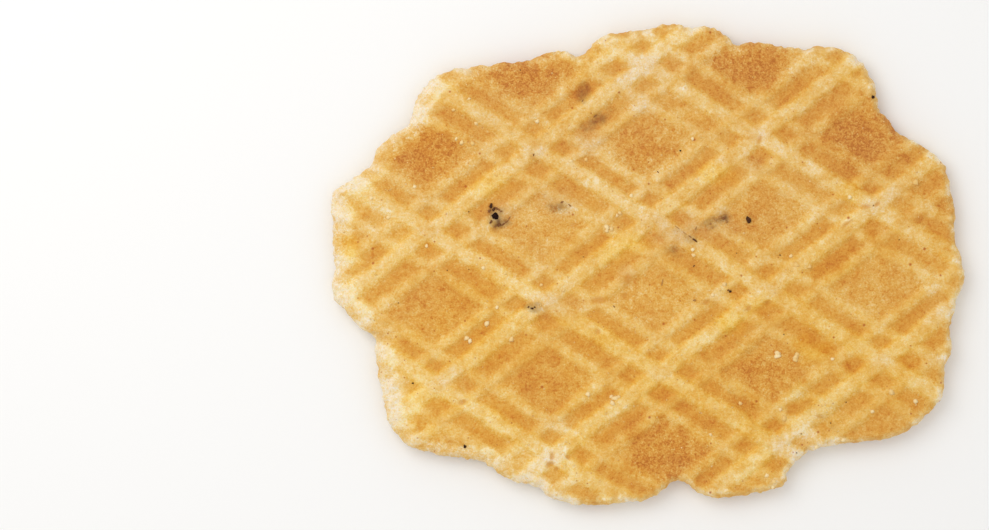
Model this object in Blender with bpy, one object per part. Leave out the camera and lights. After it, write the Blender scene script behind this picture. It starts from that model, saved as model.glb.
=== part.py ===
"""A thin oval cracker, baked between the two engraved plates of a waffle iron, lying flat.

The plates leave the same pattern on both faces: bands of three raised lines, a broad ridge with a
narrow ridge on either side, cross each other and frame flat diamonds. The dough ran out further in
some places than in others, so the rim is a ragged oval. Ground black pepper stands out of the top.

The origin is on the plane that the cracker rests on, under the middle of its box. X runs along the
cracker, Y across it, and Z is up.
"""

import math

import bmesh
import bpy
from mathutils import Vector, noise
from mathutils.geometry import delaunay_2d_cdt

MM = 0.001

# Thickness
DIAMOND_THICKNESS = 2.0 * MM  # between the flat diamonds of the two faces
BROAD_RISE = 0.45 * MM  # how far a broad ridge stands above the diamonds
NARROW_RISE = 0.32 * MM

# The lattice of ridges
CELL_SIDE = 15.0 * MM  # from one crossing of broad ridges to the next, along a ridge
HALF_ANGLE = math.radians(34.7)  # between a ridge and the long diagonal of a diamond
TURN = math.radians(3.1)  # of the lattice on the oval
CROSSING = Vector((0.3, 5.1)) * MM  # one crossing of broad ridges

# Section across a band of three ridges, measured from the middle of the broad one
BROAD_TOP = 0.5 * MM  # half of the broad ridge's flat top
BROAD_FOOT = 1.5 * MM
NARROW_MIDDLE = 3.4 * MM
NARROW_HALF = 1.1 * MM
BANDS_EACH_WAY = 4  # bands of ridges on either side of the crossing, enough to reach the rim

# How the cracker warped as it cooled. It rests on three crossings of broad ridges.
WARP = 0.25 * MM  # how far it has lifted where all three are WARP_REACH away
WARP_REACH = 27.0 * MM
FOOT_SHARE = 0.16  # of WARP, which keeps each foot flat

# The rim
RIM_STEP = 0.65 * MM  # between the rim's points
RIM_ROUNDING = 1.0 * MM  # how far in from the rim the faces start to curve over
SHOULDER_INSET = 0.28 * MM
SHOULDER_SHARE = 0.68  # of the half thickness that the shoulder keeps
RAGGED = 0.20 * MM  # how far crumbs and nicks move the rim in and out
RAGGED_PITCH = 1.3 * MM
FADE_WIDTH = 3.5 * MM  # along the rim, where the iron pressed the dough less
LEFT_FADE_WIDTH = 9.0 * MM  # at the left end of the top face
FADED_RELIEF = 0.45  # share of the relief that is left at the rim itself

# Unevenness of the baked faces
UNEVEN = 0.07 * MM
UNEVEN_PITCH = 5.0 * MM

# Corners of the lobes and notches of the rim, in millimetres, anticlockwise from the right
RIM_CORNERS_MM = [
    # right end and upper right shoulder
    (35.2, -1.2), (34.4, 1.9), (34.0, 4.2), (34.1, 6.0), (33.2, 10.4), (32.3, 11.9),
    (29.6, 13.8), (27.4, 15.0), (26.6, 16.4), (25.7, 17.2), (24.9, 20.6), (22.7, 23.5),
    # top edge, with the tall middle lobe between its two notches
    (19.1, 24.4), (17.2, 24.1), (11.4, 24.9), (9.7, 24.4), (8.7, 25.6), (6.2, 26.7),
    (5.2, 26.3), (3.4, 26.8), (-1.7, 26.1), (-5.2, 25.5), (-6.4, 24.4), (-8.0, 23.2),
    (-9.2, 23.9), (-11.3, 23.8), (-13.2, 22.9), (-18.2, 22.3), (-23.1, 21.3),
    # upper left shoulder, in steps
    (-25.6, 19.1), (-26.8, 15.6), (-28.6, 14.4), (-30.3, 12.9), (-30.9, 11.2), (-33.6, 9.1),
    # blunt left end
    (-35.1, 8.0), (-35.2, 2.1), (-34.8, 0.2), (-35.2, -2.2), (-34.5, -4.3),
    # lower left, set back below the left end
    (-31.9, -7.1), (-30.5, -7.9), (-30.4, -10.0), (-29.3, -16.4), (-27.7, -19.2), (-24.8, -20.8),
    # bottom edge, with a lobe on either side of its notch
    (-18.6, -21.9), (-16.6, -23.3), (-14.1, -24.4), (-12.0, -24.7), (-11.2, -25.8), (-7.1, -26.7),
    (-0.2, -26.1), (2.8, -24.1), (4.2, -24.3), (5.8, -25.5), (9.2, -25.9), (14.9, -24.6),
    (15.5, -23.0), (18.7, -20.4),
    # lower right
    (24.7, -19.6), (29.1, -18.3), (32.6, -14.7), (33.0, -11.2), (33.8, -9.4), (33.6, -7.2),
    (34.3, -4.2),
]
CORNER_STEPS = 12  # points between two corners while the rim is measured

# Pepper that stands out of the top face: x, y, half length and half width in millimetres, and the
# direction of its length in degrees
PEPPER_MM = [
    (-17.1, 5.8, 1.00, 0.70, 100),
    (11.0, 5.0, 0.45, 0.40, 120),
    (5.0, 2.9, 0.75, 0.35, -35),
    (9.1, -2.8, 0.45, 0.35, 0),
    (-20.4, -20.1, 0.38, 0.35, 60),
]
PEPPER_RISE = 0.24 * MM
PEPPER_TOP = 0.55  # size of a grain's top, as a share of its foot
PEPPER_SIDES = 6

# Planes of the noise field that give the two faces and the rim their own unevenness
TOP_SEED = 3.0
UNDERSIDE_SEED = 11.0
RIM_SEED = 27.0

# Closest that two points of a face may lie before they become one, in millimetres
MERGE_MM = 1e-5


def uneven(point, pitch, seed):
    """Smooth noise between about -1 and 1 at a point of the plan."""
    return noise.noise(Vector((point.x / pitch, point.y / pitch, seed)))


def curve_between(a, b, c, d, t):
    """A point on the smooth curve from b to c, where a and d are their neighbours."""
    slope = (c - a) * t
    bend = (2 * a - 5 * b + 4 * c - d) * t**2 + (3 * b - a - 3 * c + d) * t**3
    return b + (slope + bend) / 2


def evenly_spaced(points, step):
    """Points at equal distances of about step along a closed line."""
    ends = points[1:] + points[:1]
    total = sum((b - a).length for a, b in zip(points, ends))
    count = round(total / step)
    spacing = total / count
    found, walked = [], 0.0
    for a, b in zip(points, ends):
        length = (b - a).length
        while len(found) < count and len(found) * spacing < walked + length:
            found.append(a.lerp(b, (len(found) * spacing - walked) / length))
        walked += length
    return found


def centred(points):
    """The points moved so that the middle of their box is the origin."""
    lowest = Vector((min(p.x for p in points), min(p.y for p in points)))
    highest = Vector((max(p.x for p in points), max(p.y for p in points)))
    return [p - (lowest + highest) / 2 for p in points]


def rim_outline():
    """The ragged outline of the cracker, seen from above, as a closed line of points."""
    corners = [Vector(c) * MM for c in RIM_CORNERS_MM]
    smooth = []
    for i in range(len(corners)):
        neighbours = [corners[(i + k) % len(corners)] for k in (-1, 0, 1, 2)]
        smooth += [curve_between(*neighbours, t / CORNER_STEPS) for t in range(CORNER_STEPS)]
    ragged = [
        p + p.normalized() * RAGGED * uneven(p, RAGGED_PITCH, RIM_SEED)
        for p in evenly_spaced(smooth, RIM_STEP)
    ]
    return centred(ragged)


def pulled_in(outline, inset):
    """The outline moved towards the middle of the cracker by the same distance all round."""
    return [p - p.normalized() * inset for p in outline]


def reach_of(ring):
    """A function that gives how far out the ring is, in the direction of a point."""
    table = sorted((math.atan2(p.y, p.x), p.length) for p in ring)

    def reach(point):
        angle = math.atan2(point.y, point.x)
        after = next((k for k, (a, _) in enumerate(table) if a >= angle), 0)
        (a0, r0), (a1, r1) = table[after - 1], table[after]
        share = ((angle - a0) % math.tau) / ((a1 - a0) % math.tau)
        return r0 + (r1 - r0) * share

    return reach


def left_of(angle):
    """Unit vector at a right angle to a direction."""
    return Vector((-math.sin(angle), math.cos(angle)))


ACROSS = [left_of(TURN + HALF_ANGLE), left_of(TURN - HALF_ANGLE)]  # across the two families of ridges
PITCH = CELL_SIDE * math.sin(2 * HALF_ANGLE)  # between neighbouring broad ridges, across them
DIAMOND_LENGTH = 2 * CELL_SIDE * math.cos(HALF_ANGLE)
DIAMOND_HEIGHT = 2 * CELL_SIDE * math.sin(HALF_ANGLE)


def band_height(distance):
    """Height of a band of three ridges at a distance from the middle of its broad ridge."""
    if distance <= BROAD_FOOT:
        return BROAD_RISE * min(1.0, (BROAD_FOOT - distance) / (BROAD_FOOT - BROAD_TOP))
    return NARROW_RISE * max(0.0, 1 - abs(distance - NARROW_MIDDLE) / NARROW_HALF)


def relief(point):
    """Height of the pattern above the flat diamonds."""
    heights = []
    for across in ACROSS:
        distance = (point - CROSSING).dot(across)
        heights.append(band_height(abs(distance - PITCH * round(distance / PITCH))))
    return max(heights)


def crossing_at(along, across):
    """A crossing of broad ridges, counted in diamonds from the first one."""
    lengthwise = left_of(TURN - math.pi / 2) * DIAMOND_LENGTH
    upward = left_of(TURN) * DIAMOND_HEIGHT
    return CROSSING + along * lengthwise + across * upward


FEET = [crossing_at(-1, 0), crossing_at(1, 0), crossing_at(0, -1)]


def warp(point):
    """How far the cooled cracker has lifted, which is nothing at its three feet."""
    away = math.prod((point - foot).length / WARP_REACH for foot in FEET)
    return WARP * max(0.0, away - FOOT_SHARE)


def pepper_height(point):
    """Height of the pepper grain at a point, or zero."""
    highest = 0.0
    for x, y, half_length, half_width, degrees in PEPPER_MM:
        turn = math.radians(degrees)
        away = point / MM - Vector((x, y))
        along = (away.x * math.cos(turn) + away.y * math.sin(turn)) / half_length
        aside = (away.y * math.cos(turn) - away.x * math.sin(turn)) / half_width
        slope = (1 - math.hypot(along, aside)) / (1 - PEPPER_TOP)
        highest = max(highest, PEPPER_RISE * min(1.0, slope))
    return highest


class Faces:
    """Heights of the two faces over the plan of the cracker."""

    def __init__(self, outline):
        self.reach = reach_of(outline)

    def pattern(self, point, fade_width):
        """The relief, which fades towards the rim."""
        inward = (self.reach(point) - point.length) / fade_width
        return relief(point) * min(1.0, FADED_RELIEF + (1 - FADED_RELIEF) * inward)

    def top(self, point):
        leftward = max(0.0, -point.x / max(point.length, MM)) ** 2
        fade_width = FADE_WIDTH + (LEFT_FADE_WIDTH - FADE_WIDTH) * leftward
        bumps = UNEVEN * uneven(point, UNEVEN_PITCH, TOP_SEED)
        rise = self.pattern(point, fade_width) + bumps + pepper_height(point) + warp(point)
        return BROAD_RISE + DIAMOND_THICKNESS + rise

    def underside(self, point):
        """The broad ridges are true, because the cracker rests on them."""
        rise = self.pattern(point, FADE_WIDTH)
        bumps = UNEVEN * uneven(point, UNEVEN_PITCH, UNDERSIDE_SEED) * (1 - rise / BROAD_RISE)
        return BROAD_RISE - rise + bumps + warp(point)


def ridge_grid(reach):
    """Points where the creases of the two families of ridges cross, and the edges between them."""
    creases = [BROAD_TOP, BROAD_FOOT]
    creases += [NARROW_MIDDLE + k * NARROW_HALF for k in (-1, 0, 1)]
    bands = range(-BANDS_EACH_WAY, BANDS_EACH_WAY + 1)
    offsets = [k * PITCH + side * c for k in bands for c in creases for side in (-1, 1)]
    offsets = sorted(offsets + [(k + 0.5) * PITCH for k in bands])
    first, second = ACROSS
    scale = first.x * second.y - first.y * second.x
    points, edges, number = [], [], {}
    for i, p in enumerate(offsets):
        for j, q in enumerate(offsets):
            x = (p * second.y - q * first.y) / scale
            y = (q * first.x - p * second.x) / scale
            point = CROSSING + Vector((x, y))
            if point.length > reach(point) - RIM_STEP / 2:
                continue
            number[i, j] = len(points)
            points.append(point)
            edges += [(number[k], number[i, j]) for k in ((i - 1, j), (i, j - 1)) if k in number]
    return points, edges


def pepper_rings():
    """Points and edges round the foot and the top of each pepper grain."""
    points, edges = [], []
    for x, y, half_length, half_width, degrees in PEPPER_MM:
        turn = math.radians(degrees)
        for size in (1.0, PEPPER_TOP):
            start = len(points)
            for k in range(PEPPER_SIDES):
                a = math.tau * k / PEPPER_SIDES
                along, aside = size * half_length * math.cos(a), size * half_width * math.sin(a)
                dx = along * math.cos(turn) - aside * math.sin(turn)
                dy = along * math.sin(turn) + aside * math.cos(turn)
                points.append(Vector((x + dx, y + dy)) * MM)
                edges.append((start + k, start + (k + 1) % PEPPER_SIDES))
    return points, edges


def face_triangles(ring):
    """Flat triangles that fill a ring, with edges along every crease of the pattern.

    Returns the points, the triangles, and for each place on the ring the number of its point."""
    points, edges = list(ring), []
    for more_points, more_edges in (ridge_grid(reach_of(ring)), pepper_rings()):
        start = len(points)
        points += more_points
        edges += [(a + start, b + start) for a, b in more_edges]
    places = list(range(len(ring)))
    inside_only = 1
    found = delaunay_2d_cdt([p / MM for p in points], edges, [places], inside_only, MERGE_MM)
    flat, triangles, sources = [p * MM for p in found[0]], found[2], found[3]
    number = {k: n for n, source in enumerate(sources) for k in source}
    return flat, triangles, [number[k] for k in places]


def cracker_mesh():
    outline = rim_outline()
    faces = Faces(outline)
    inner = pulled_in(outline, RIM_ROUNDING)
    shoulder = pulled_in(outline, SHOULDER_INSET)
    flat, triangles, inner_numbers = face_triangles(inner)

    mesh = bmesh.new()
    top = [mesh.verts.new((p.x, p.y, faces.top(p))) for p in flat]
    under = [mesh.verts.new((p.x, p.y, faces.underside(p))) for p in flat]
    for a, b, c in triangles:
        mesh.faces.new((top[a], top[b], top[c]))
        mesh.faces.new((under[c], under[b], under[a]))

    # Over the rim, from the top face past its two shoulders to the underside
    rings = [[top[k] for k in inner_numbers]]
    for points, share in ((shoulder, SHOULDER_SHARE), (outline, 0.0), (shoulder, -SHOULDER_SHARE)):
        ring = []
        for p, start in zip(points, inner):
            middle = (faces.top(start) + faces.underside(start)) / 2
            half = (faces.top(start) - faces.underside(start)) / 2
            ring.append(mesh.verts.new((p.x, p.y, middle + share * half)))
        rings.append(ring)
    rings.append([under[k] for k in inner_numbers])
    for upper, lower in zip(rings, rings[1:]):
        for k in range(len(upper)):
            mesh.faces.new((upper[k - 1], lower[k - 1], lower[k], upper[k]))
    bmesh.ops.triangulate(mesh, faces=mesh.faces)
    bmesh.ops.recalc_face_normals(mesh, faces=mesh.faces)

    data = bpy.data.meshes.new("cracker")
    mesh.to_mesh(data)
    mesh.free()
    data.shade_smooth()
    data.set_sharp_from_angle(angle=math.radians(50))
    return data


def baked_crust():
    """Matt golden crust of baked wheat dough."""
    material = bpy.data.materials.new("baked_crust")
    material.use_nodes = True
    shader = material.node_tree.nodes["Principled BSDF"]
    shader.inputs["Base Color"].default_value = (0.69, 0.39, 0.12, 1.0)
    shader.inputs["Roughness"].default_value = 0.75
    shader.inputs["Metallic"].default_value = 0.0
    return material


def main():
    for old in list(bpy.data.objects):
        bpy.data.objects.remove(old)
    data = cracker_mesh()
    data.materials.append(baked_crust())
    cracker = bpy.data.objects.new("cracker", data)
    bpy.context.scene.collection.objects.link(cracker)


main()
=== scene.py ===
# %% [markdown]
# # A black pepper cracker from a waffle iron
#
# This script dresses a thin oval cracker. The imported model gives its size and its rim. Here the
# cracker gets a finer mesh of the same form, a crust that is pale on the ridges and brown on the flat
# diamonds, ground pepper and pale crumbs.
#
# The first cell loads the imported model as a fixed frame. Its box is kept, for the height of the rim
# and the thickness that the steps below use.

import math

import bmesh
import bpy
import numpy as np
from mathutils import Matrix, Vector, noise
from mathutils.bvhtree import BVHTree


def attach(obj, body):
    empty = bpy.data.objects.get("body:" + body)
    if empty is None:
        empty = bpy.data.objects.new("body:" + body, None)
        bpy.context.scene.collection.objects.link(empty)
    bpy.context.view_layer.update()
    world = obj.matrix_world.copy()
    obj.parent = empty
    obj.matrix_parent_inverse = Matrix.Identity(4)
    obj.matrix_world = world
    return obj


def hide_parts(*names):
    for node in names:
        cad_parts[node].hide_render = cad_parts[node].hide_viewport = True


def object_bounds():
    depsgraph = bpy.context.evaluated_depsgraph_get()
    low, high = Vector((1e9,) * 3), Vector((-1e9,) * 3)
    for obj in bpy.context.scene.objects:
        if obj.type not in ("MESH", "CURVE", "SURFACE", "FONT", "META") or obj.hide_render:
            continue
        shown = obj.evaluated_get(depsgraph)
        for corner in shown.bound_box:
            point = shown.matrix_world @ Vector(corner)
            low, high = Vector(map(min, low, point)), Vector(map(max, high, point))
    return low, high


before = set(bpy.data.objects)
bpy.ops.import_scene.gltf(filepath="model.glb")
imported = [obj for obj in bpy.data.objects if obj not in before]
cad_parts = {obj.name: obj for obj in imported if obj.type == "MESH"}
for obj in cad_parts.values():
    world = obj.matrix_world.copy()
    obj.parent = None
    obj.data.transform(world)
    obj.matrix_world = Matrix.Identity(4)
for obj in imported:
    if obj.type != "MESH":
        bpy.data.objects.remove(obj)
cad_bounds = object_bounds()
MM = 0.001
print("box of the solid in mm:", [[round(v / MM, 2) for v in corner] for corner in cad_bounds])

# %% [markdown]
# ## The camera
#
# The cracker lies flat with its shown face up, so the camera looks straight down on it. The picture
# is 989 pixels wide and a millimetre of cracker takes 9 of them. The cracker's middle lies right of
# the picture's middle, so the camera stands a little to the left of it. That needs no lens shift.
#
# A distance of 400 mm is a usual one for small food, and the focal length follows from it.

# %% Camera
PICTURE_WIDTH = 989
PICTURE_HEIGHT = 530
PIXELS_PER_MM = 9.0
CRACKER_MIDDLE_PX = (648.0, 265.0)
CAMERA_HEIGHT = 400 * MM
SENSOR = 36.0
RIM_HEIGHT = (cad_bounds[0].z + cad_bounds[1].z) / 2


def add_object(name, data):
    """A new object in the scene."""
    made = bpy.data.objects.new(name, data)
    bpy.context.scene.collection.objects.link(made)
    return made


camera_data = bpy.data.cameras.new("camera")
camera = add_object("camera", camera_data)
camera.location = (
    (PICTURE_WIDTH / 2 - CRACKER_MIDDLE_PX[0]) / PIXELS_PER_MM * MM,
    (CRACKER_MIDDLE_PX[1] - PICTURE_HEIGHT / 2) / PIXELS_PER_MM * MM,
    CAMERA_HEIGHT,
)
view_width = PICTURE_WIDTH / PIXELS_PER_MM * MM
camera_data.sensor_width = SENSOR
camera_data.lens = SENSOR * (CAMERA_HEIGHT - RIM_HEIGHT) / view_width
camera_data.clip_start = 10 * MM
camera_data.clip_end = 10000 * MM
bpy.context.scene.camera = camera
print("focal length in mm:", round(camera_data.lens, 1))

# %% [markdown]
# ## Colours and nodes
#
# A material here is a tree of nodes. One helper adds a node, sets what it is given and links its
# inputs. Others start and finish a material, and one turns the hex colours of a paint program into
# Blender's linear ones.

# %% Helpers for colours and nodes
def linear(hex_colour):
    """A hex colour such as "E5B668" as linear red, green, blue and alpha."""
    channels = [int(hex_colour[k : k + 2], 16) / 255 for k in (0, 2, 4)]
    return [c / 12.92 if c <= 0.04045 else ((c + 0.055) / 1.055) ** 2.4 for c in channels] + [1.0]


def add_node(tree, kind, inputs=None, **settings):
    """A new node with its settings, where the kind "Math" is Blender's ShaderNodeMath. An input is a
    value, the output that is linked to it, or a node for its first output."""
    made = tree.nodes.new("ShaderNode" + kind)
    for name, value in settings.items():
        setattr(made, name, value)
    for socket, value in (inputs or {}).items():
        if isinstance(value, bpy.types.Node):
            value = value.outputs[0]
        if isinstance(value, bpy.types.NodeSocket):
            tree.links.new(value, made.inputs[socket])
        else:
            made.inputs[socket].default_value = value
    return made


def new_material(name):
    """An empty material and its tree of nodes."""
    material = bpy.data.materials.new(name)
    material.use_nodes = True
    material.node_tree.nodes.clear()
    return material, material.node_tree


def finish_material(material, shader, mesh):
    """Link the shader to the material's output and give the material to a mesh."""
    add_node(material.node_tree, "OutputMaterial", {"Surface": shader})
    mesh.materials.append(material)
    print(material.name, "has", len(material.node_tree.nodes), "nodes")


print("the grey 808080 is", round(linear("808080")[0], 3), "in linear light")

# %% [markdown]
# ## The floor and the light
#
# The floor is plain and pale, like a sheet of matt paper. It could be Blender's own plane, but four
# corners and one face are as quick to write, and they show what a mesh is made of.

# %% Floor
FLOOR_HALF = 1.5  # metres

floor_mesh = bpy.data.meshes.new("floor")
corners = [(-1, -1), (1, -1), (1, 1), (-1, 1)]
floor_mesh.from_pydata([(x * FLOOR_HALF, y * FLOOR_HALF, 0) for x, y in corners], [], [(0, 1, 2, 3)])
floor = add_object("floor", floor_mesh)

material, tree = new_material("matt_white_paper")
paper = add_node(tree, "BsdfPrincipled", {"Base Color": linear("F7F6F4"), "Roughness": 0.9})
finish_material(material, paper, floor_mesh)

# %% [markdown]
# The light on the cracker is nearly even: the two flanks of a ridge differ by a few hundredths. So a
# bright sky gives four fifths of it, and a soft lamp from the far left, high up, gives the rest. It
# stands near, so the left end is a little brighter than the right. The Standard view shows colours as
# they are, without a film look.

# %% Light
SKY_STRENGTH = 0.80
KEY_DIRECTION = math.radians(140)  # where the lamp stands, anticlockwise from the cracker's right
KEY_ELEVATION = math.radians(55)
KEY_DISTANCE = 0.26  # metres
KEY_SIZE = 0.17  # metres
KEY_WATTS = 0.205

key_out = math.cos(KEY_ELEVATION) * KEY_DISTANCE
key_height = math.sin(KEY_ELEVATION) * KEY_DISTANCE
key_place = Vector((key_out * math.cos(KEY_DIRECTION), key_out * math.sin(KEY_DIRECTION), key_height))
key_data = bpy.data.lights.new("key", "AREA")
key_data.size = KEY_SIZE
key_data.energy = KEY_WATTS
key = add_object("key", key_data)
key.location = key_place
key.rotation_euler = (-key_place).to_track_quat("-Z", "Y").to_euler()

world = bpy.data.worlds.new("studio")
world.use_nodes = True
world.node_tree.nodes["Background"].inputs["Color"].default_value = linear("FFFFFF")
world.node_tree.nodes["Background"].inputs["Strength"].default_value = SKY_STRENGTH
bpy.context.scene.world = world
bpy.context.scene.view_settings.view_transform = "Standard"
print("lamp at", [round(v, 2) for v in key_place], "m")

# %% [markdown]
# ## The waffle pattern
#
# Both plates of the iron are engraved with the same lattice. A band of three lines, a broad one with
# a narrow one on either side, repeats every 14 mm in two directions, and the bands cross to frame flat
# diamonds. The batter fills the engraved lines, so they stand out of the cracker as ridges.
#
# The pattern could be modelled ridge by ridge, but it is a rule: the height at a point depends only
# on how far the point is from the nearest broad ridge of each family. So it is a function of x and y,
# worked out for all points at once with numpy. The sizes are those of the solid. Batter rises and
# tears off the plates unevenly, so noise bends each ridge a little and makes it fade in places.

# %% Sizes of the lattice
DIAMOND_THICKNESS = 2.0 * MM
BROAD_RISE = 0.45 * MM
NARROW_RISE = 0.32 * MM
CELL_SIDE = 15.0 * MM  # from one crossing of broad ridges to the next along a ridge
HALF_ANGLE = math.radians(34.7)  # between a ridge and the long axis of the diamonds
TURN = math.radians(3.1)  # of that axis from the cracker's length
CROSSING = (0.3 * MM, 5.1 * MM)
PITCH = CELL_SIDE * math.sin(2 * HALF_ANGLE)
FAMILIES = (TURN + HALF_ANGLE, TURN - HALF_ANGLE)  # the two directions of the ridges
BROAD_TOP = 0.50 * MM  # half width of the flat top of a broad ridge
BROAD_FOOT = 1.32 * MM  # half width at its foot
NARROW_MIDDLE = 3.25 * MM
NARROW_SHIFT = 0.15 * MM  # how far each pair of narrow ridges lies off centre, towards -Y
NARROW_TOP = 0.20 * MM
NARROW_FOOT = 1.05 * MM
GROOVE_START = (0.9 * MM, 1.5 * MM)  # how far from the broad ridge's middle the groove deepens
GROOVE_END = (2.0 * MM, 3.0 * MM)  # and where it rises again
print("ridges repeat every", round(PITCH / MM, 2), "mm")


# %% Smooth slopes and noise
def smooth_step(low, high, value):
    """0 below low, 1 above high, and a smooth slope between them."""
    share = np.clip((value - low) / (high - low), 0, 1)
    return share * share * (3 - 2 * share)


def noise_at(x, y, pitch, seed):
    """Smooth noise between about -1 and 1, whose bumps are about pitch apart."""
    places = zip(np.ravel(x) / pitch, np.ravel(y) / pitch)
    values = [noise.noise(Vector((a, b, seed))) for a, b in places]
    return np.array(values).reshape(np.shape(x))


def layered_noise(x, y, layers):
    """Sum of noises, each given by its pitch, its strength and its seed."""
    return sum(strength * noise_at(x, y, pitch, seed) for pitch, strength, seed in layers)


print("the slope is", float(smooth_step(0, 1, 0.25)), "high at a quarter of its way")

# %% Ridges and grooves
BENDS = ((4.0 * MM, 0.27 * MM, 20.0), (0.9 * MM, 0.07 * MM, 24.0))  # pitch, size and seed
# Share of the engraved depth that the batter took up: usual, how much it varies, and least
TAKEN_UP = 0.92
TAKEN_UP_VARIES = 0.5
LEAST_TAKEN_UP = 0.6
FADING_PITCH = 6.0 * MM


def from_broad(x, y, direction):
    """Distance to the nearest broad ridge of a family, negative on one side of it."""
    across = (y - CROSSING[1]) * math.cos(direction) - (x - CROSSING[0]) * math.sin(direction)
    return across - PITCH * np.round(across / PITCH)


def ridge_shares(x, y):
    """How much each point belongs to a broad ridge and to a narrow one, for both families."""
    bent_x, bent_y = x, y
    for pitch, size, seed in BENDS:
        bent_x = bent_x + size * noise_at(x, y, pitch, seed)
        bent_y = bent_y + size * noise_at(x, y, pitch, seed + 1)
    found = []
    for direction in FAMILIES:
        across = from_broad(bent_x, bent_y, direction)
        from_narrow = np.abs(np.abs(across + NARROW_SHIFT) - NARROW_MIDDLE)
        broad = 1 - smooth_step(BROAD_TOP, BROAD_FOOT, np.abs(across))
        narrow = 1 - smooth_step(NARROW_TOP, NARROW_FOOT, from_narrow)
        found.append((broad, narrow))
    return found


def groove_share(x, y):
    """1 on the floor of the grooves that run between a broad ridge and the narrow ones beside it."""
    found = np.zeros(np.shape(x))
    for direction in FAMILIES:
        beside = np.abs(from_broad(x, y, direction) + NARROW_SHIFT)
        inside = smooth_step(*GROOVE_START, beside) * (1 - smooth_step(*GROOVE_END, beside))
        found = np.maximum(found, inside)
    return found


def fading(x, y):
    """Share of a ridge's height that the batter took up."""
    taken_up = TAKEN_UP + TAKEN_UP_VARIES * noise_at(x, y, FADING_PITCH, seed=22.0)
    return np.clip(taken_up, LEAST_TAKEN_UP, 1)


def relief(x, y):
    """Height of the pattern above the flat diamonds. Where two ridges cross, they merge softly."""
    (broad_a, narrow_a), (broad_b, narrow_b) = ridge_shares(x, y)
    height_a = BROAD_RISE * broad_a + NARROW_RISE * narrow_a
    height_b = BROAD_RISE * broad_b + NARROW_RISE * narrow_b
    return (height_a**4 + height_b**4) ** 0.25


print("relief at a crossing:", round(float(relief(*CROSSING)) / MM, 2), "mm")

# %% [markdown]
# ## The rim
#
# The rim is where the batter stopped, so it follows no formula. The solid already has it. Rays are
# sent in from all sides at a few heights, and the furthest hit in each direction gives the reach of
# the rim there. Finer nicks are added, as crumbs break off a real rim.

# %% Reach of the rim
RIM_DIRECTIONS = 2048
RAY_HEIGHTS = (0.3, 0.4, 0.5, 0.6, 0.7)  # shares of the thickness
NICKS = ((1.2 * MM, 0.10 * MM, 43.0), (0.55 * MM, 0.12 * MM, 40.0))  # pitch, depth and seed
NICKS_LOWERED = 0.4  # taken off the noise, so that it cuts in more than it stands out

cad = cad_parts["cracker"]
cad_corners = [v.co for v in cad.data.vertices]
solid_tree = BVHTree.FromPolygons(cad_corners, [p.vertices for p in cad.data.polygons])
directions = np.linspace(0, math.tau, RIM_DIRECTIONS, endpoint=False)
thickness = cad_bounds[1].z
far = 2 * cad_bounds[1].x
rim_reach = np.zeros(RIM_DIRECTIONS)
for share in RAY_HEIGHTS:
    for k, angle in enumerate(directions):
        outward = Vector((math.cos(angle), math.sin(angle), 0))
        start = outward * far + Vector((0, 0, share * thickness))
        hit = solid_tree.ray_cast(start, -outward)[0]
        if hit is not None:
            rim_reach[k] = max(rim_reach[k], math.hypot(hit.x, hit.y))
rim_x, rim_y = rim_reach * np.cos(directions), rim_reach * np.sin(directions)
for pitch, depth, seed in NICKS:
    rim_reach = rim_reach + depth * (noise_at(rim_x, rim_y, pitch, seed) - NICKS_LOWERED)
print("rim reaches from", round(rim_reach.min() / MM, 1), "to", round(rim_reach.max() / MM, 1), "mm")


# %% Places seen from the rim
def reach_at(angle):
    """Reach of the rim in each direction."""
    return np.interp(angle, directions, rim_reach, period=math.tau)


def inset(x, y):
    """How far each point is inside the rim, measured towards the middle of the cracker."""
    return reach_at(np.arctan2(y, x)) - np.hypot(x, y)


def leftness(x, y):
    """1 towards the cracker's left end and 0 over its right half."""
    return np.clip(-x / np.maximum(np.hypot(x, y), MM), 0, 1) ** 2


print("the crossing in the middle is", round(float(inset(*CROSSING)) / MM, 1), "mm inside the rim")

# %% [markdown]
# ## The two faces
#
# The top and the underside are height fields over the plan. Both carry the relief, which is weaker
# near the rim, where the iron pressed the dough less, above all at the left end. Both also have the
# slow unevenness of dough. A thin cracker warps while it cools and ends up on three feet. They are
# crossings of broad ridges, as on the solid.

# %% Heights of the faces
FADE_WIDTH = 3.5 * MM
LEFT_FADE_WIDTH = 9.0 * MM
FADED_RELIEF = 0.45
UNEVEN = 0.07 * MM
UNEVEN_PITCH = 5.0 * MM
WARP = 0.25 * MM
WARP_REACH = 27.0 * MM
FOOT_SHARE = 0.16


def crossing_at(along, across):
    """A crossing of broad ridges, counted in diamonds from the first one."""
    length = along * 2 * CELL_SIDE * math.cos(HALF_ANGLE)
    height = across * 2 * CELL_SIDE * math.sin(HALF_ANGLE)
    x = CROSSING[0] + length * math.cos(TURN) - height * math.sin(TURN)
    return x, CROSSING[1] + length * math.sin(TURN) + height * math.cos(TURN)


FEET = [crossing_at(-1, 0), crossing_at(1, 0), crossing_at(0, -1)]


def warp(x, y):
    """How far the cooled cracker has lifted, which is nothing at its three feet."""
    away = 1.0
    for foot_x, foot_y in FEET:
        away = away * np.hypot(x - foot_x, y - foot_y) / WARP_REACH
    return WARP * np.maximum(0, away - FOOT_SHARE)


def pattern(x, y, fade_width):
    """The relief, which fades towards the rim."""
    inward = np.clip(inset(x, y) / fade_width, 0, 1)
    return relief(x, y) * fading(x, y) * (FADED_RELIEF + (1 - FADED_RELIEF) * inward)


def top(x, y):
    """Height of the face that shows."""
    fade_width = FADE_WIDTH + (LEFT_FADE_WIDTH - FADE_WIDTH) * leftness(x, y)
    bumps = UNEVEN * noise_at(x, y, UNEVEN_PITCH, seed=3.0)
    return BROAD_RISE + DIAMOND_THICKNESS + pattern(x, y, fade_width) + bumps + warp(x, y)


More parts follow.
